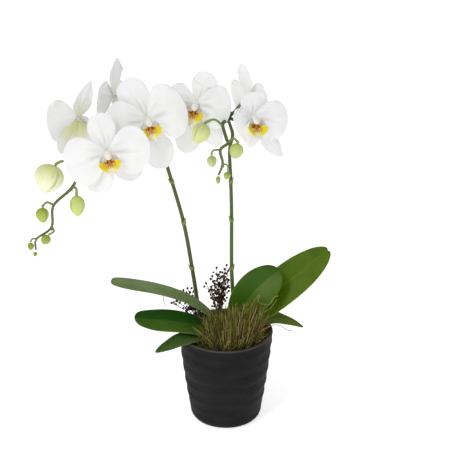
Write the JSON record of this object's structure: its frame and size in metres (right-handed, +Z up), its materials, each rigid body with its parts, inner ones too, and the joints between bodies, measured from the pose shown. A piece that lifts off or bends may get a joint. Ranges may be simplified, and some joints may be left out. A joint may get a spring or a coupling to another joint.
{
  "type": "potted moth orchid",
  "caption": "White moth orchid in a dark rippled round pot: two arching flower spikes with open flowers and buds over broad leaves, dressed with moss and seed sprays.",
  "frame": {"origin": "the middle of the pot's flat base, on the surface it stands on", "axes": "+Z up; -Y towards the front, the side the flowers face; +X to the viewer's right"},
  "size_m": [0.407, 0.1492, 0.5137],
  "materials": {
    "pot": "satin charcoal glaze with soft ripples",
    "potting_bark": "rough brown bark chips",
    "moss_dressing": "dry olive and brown moss and grass",
    "leaf_left_upper": "waxy green leaf",
    "leaf_left_middle": "waxy green leaf",
    "leaf_left_lower": "waxy green leaf",
    "leaf_right_front": "waxy green leaf",
    "leaf_right_back": "waxy green leaf",
    "leaf_right_low": "waxy green leaf",
    "spike_left": "green flower stem with pale nodes",
    "spike_right": "green flower stem with pale nodes",
    "bud_left_1": "closed flower bud",
    "bud_left_2": "closed flower bud",
    "bud_left_3": "closed flower bud",
    "bud_left_4": "closed flower bud",
    "bud_left_5": "closed flower bud",
    "bud_left_6": "closed flower bud",
    "bud_right_1": "closed flower bud",
    "bud_right_2": "closed flower bud",
    "bud_right_3": "closed flower bud",
    "bud_right_4": "closed flower bud",
    "bud_right_5": "closed flower bud",
    "flower_1_petals": "soft white petal",
    "flower_1_lateral_sepals": "soft white sepal",
    "flower_1_dorsal_sepal": "soft white sepal",
    "flower_1_lip": "yellow lip with orange stripes",
    "flower_1_column": "waxy white column",
    "flower_2_petals": "soft white petal",
    "flower_2_lateral_sepals": "soft white sepal",
    "flower_2_dorsal_sepal": "soft white sepal",
    "flower_2_lip": "yellow lip with orange stripes",
    "flower_2_column": "waxy white column",
    "flower_3_petals": "soft white petal",
    "flower_3_lateral_sepals": "soft white sepal",
    "flower_3_dorsal_sepal": "soft white sepal",
    "flower_3_lip": "yellow lip with orange stripes",
    "flower_3_column": "waxy white column",
    "flower_4_petals": "soft white petal",
    "flower_4_lateral_sepals": "soft white sepal",
    "flower_4_dorsal_sepal": "soft white sepal",
    "flower_4_lip": "yellow lip with orange stripes",
    "flower_4_column": "waxy white column",
    "flower_5_petals": "soft white petal",
    "flower_5_lateral_sepals": "soft white sepal",
    "flower_5_dorsal_sepal": "soft white sepal",
    "flower_5_lip": "yellow lip with orange stripes",
    "flower_5_column": "waxy white column",
    "flower_6_petals": "soft white petal",
    "flower_6_lateral_sepals": "soft white sepal",
    "flower_6_dorsal_sepal": "soft white sepal",
    "flower_6_lip": "yellow lip with orange stripes",
    "flower_6_column": "waxy white column",
    "flower_7_petals": "soft white petal",
    "flower_7_lateral_sepals": "soft white sepal",
    "flower_7_dorsal_sepal": "soft white sepal",
    "flower_7_lip": "yellow lip with orange stripes",
    "flower_7_column": "waxy white column",
    "berry_spray_right": "dried brown seed spray",
    "berry_spray_left": "dried brown seed spray"
  },
  "bodies": {
    "root": {"pot": "pot", "potting_bark": "potting_bark", "moss_dressing": "moss_dressing", "leaf_left_upper": "leaf_left_upper", "leaf_left_middle": "leaf_left_middle", "leaf_left_lower": "leaf_left_lower", "leaf_right_front": "leaf_right_front", "leaf_right_back": "leaf_right_back", "leaf_right_low": "leaf_right_low", "spike_left": "spike_left", "spike_right": "spike_right", "bud_left_1": "bud_left_1", "bud_left_2": "bud_left_2", "bud_left_3": "bud_left_3", "bud_left_4": "bud_left_4", "bud_left_5": "bud_left_5", "bud_left_6": "bud_left_6", "bud_right_1": "bud_right_1", "bud_right_2": "bud_right_2", "bud_right_3": "bud_right_3", "bud_right_4": "bud_right_4", "bud_right_5": "bud_right_5", "flower_1_petals": "flower_1_petals", "flower_1_lateral_sepals": "flower_1_lateral_sepals", "flower_1_dorsal_sepal": "flower_1_dorsal_sepal", "flower_1_lip": "flower_1_lip", "flower_1_column": "flower_1_column", "flower_2_petals": "flower_2_petals", "flower_2_lateral_sepals": "flower_2_lateral_sepals", "flower_2_dorsal_sepal": "flower_2_dorsal_sepal", "flower_2_lip": "flower_2_lip", "flower_2_column": "flower_2_column", "flower_3_petals": "flower_3_petals", "flower_3_lateral_sepals": "flower_3_lateral_sepals", "flower_3_dorsal_sepal": "flower_3_dorsal_sepal", "flower_3_lip": "flower_3_lip", "flower_3_column": "flower_3_column", "flower_4_petals": "flower_4_petals", "flower_4_lateral_sepals": "flower_4_lateral_sepals", "flower_4_dorsal_sepal": "flower_4_dorsal_sepal", "flower_4_lip": "flower_4_lip", "flower_4_column": "flower_4_column", "flower_5_petals": "flower_5_petals", "flower_5_lateral_sepals": "flower_5_lateral_sepals", "flower_5_dorsal_sepal": "flower_5_dorsal_sepal", "flower_5_lip": "flower_5_lip", "flower_5_column": "flower_5_column", "flower_6_petals": "flower_6_petals", "flower_6_lateral_sepals": "flower_6_lateral_sepals", "flower_6_dorsal_sepal": "flower_6_dorsal_sepal", "flower_6_lip": "flower_6_lip", "flower_6_column": "flower_6_column", "flower_7_petals": "flower_7_petals", "flower_7_lateral_sepals": "flower_7_lateral_sepals", "flower_7_dorsal_sepal": "flower_7_dorsal_sepal", "flower_7_lip": "flower_7_lip", "flower_7_column": "flower_7_column", "berry_spray_right": "berry_spray_right", "berry_spray_left": "berry_spray_left"}
  },
  "joints": []
}
